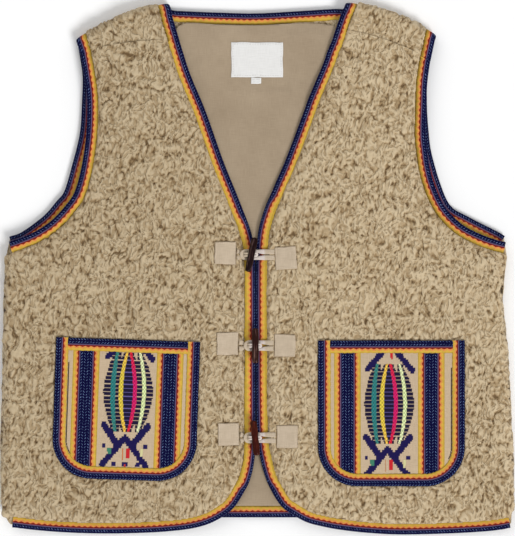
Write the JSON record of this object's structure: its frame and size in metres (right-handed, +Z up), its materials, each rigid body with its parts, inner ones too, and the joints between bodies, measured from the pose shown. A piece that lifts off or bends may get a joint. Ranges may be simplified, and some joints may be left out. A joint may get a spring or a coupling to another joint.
{
  "type": "toggle-front fleece vest laid flat",
  "caption": "Sleeveless curly-fleece vest laid flat, with ribbon-bound edges, two ribbon-edged patch pockets and barrel toggles on loops.",
  "frame": {"origin": "centre of the bounding box at the surface that the back panel lies on", "axes": "+X towards the side seam on the right as seen, +Y from the hem to the neck, +Z up off the surface, out of the front"},
  "size_m": [0.565, 0.5859, 0.0266],
  "materials": {
    "fleece": "curly pile",
    "lining": "smooth fleece",
    "ribbon": "woven",
    "pattern": "woven pattern",
    "linen": "plain weave",
    "label": "satin weave",
    "horn": "polished dark horn"
  },
  "bodies": {
    "root": {"back_panel": "fleece", "back_lining": "lining", "front_left": "fleece", "front_right": "fleece", "front_binding_left": "ribbon", "front_binding_right": "ribbon", "neck_binding": "ribbon", "back_hem_binding": "ribbon", "armhole_binding_left": "ribbon", "armhole_binding_right": "ribbon", "pocket_left": "pattern", "pocket_right": "pattern", "pocket_trim_left": "ribbon", "pocket_trim_right": "ribbon", "pocket_band_left": "ribbon", "pocket_band_right": "ribbon", "patch_left_1": "linen", "patch_left_2": "linen", "patch_left_3": "linen", "patch_right_1": "linen", "patch_right_2": "linen", "patch_right_3": "linen", "loop_left_1": "linen", "loop_left_2": "linen", "loop_left_3": "linen", "loop_right_1": "linen", "loop_right_2": "linen", "loop_right_3": "linen", "toggle_1": "horn", "toggle_2": "horn", "toggle_3": "horn", "label": "label", "label_tab": "label"}
  },
  "joints": []
}
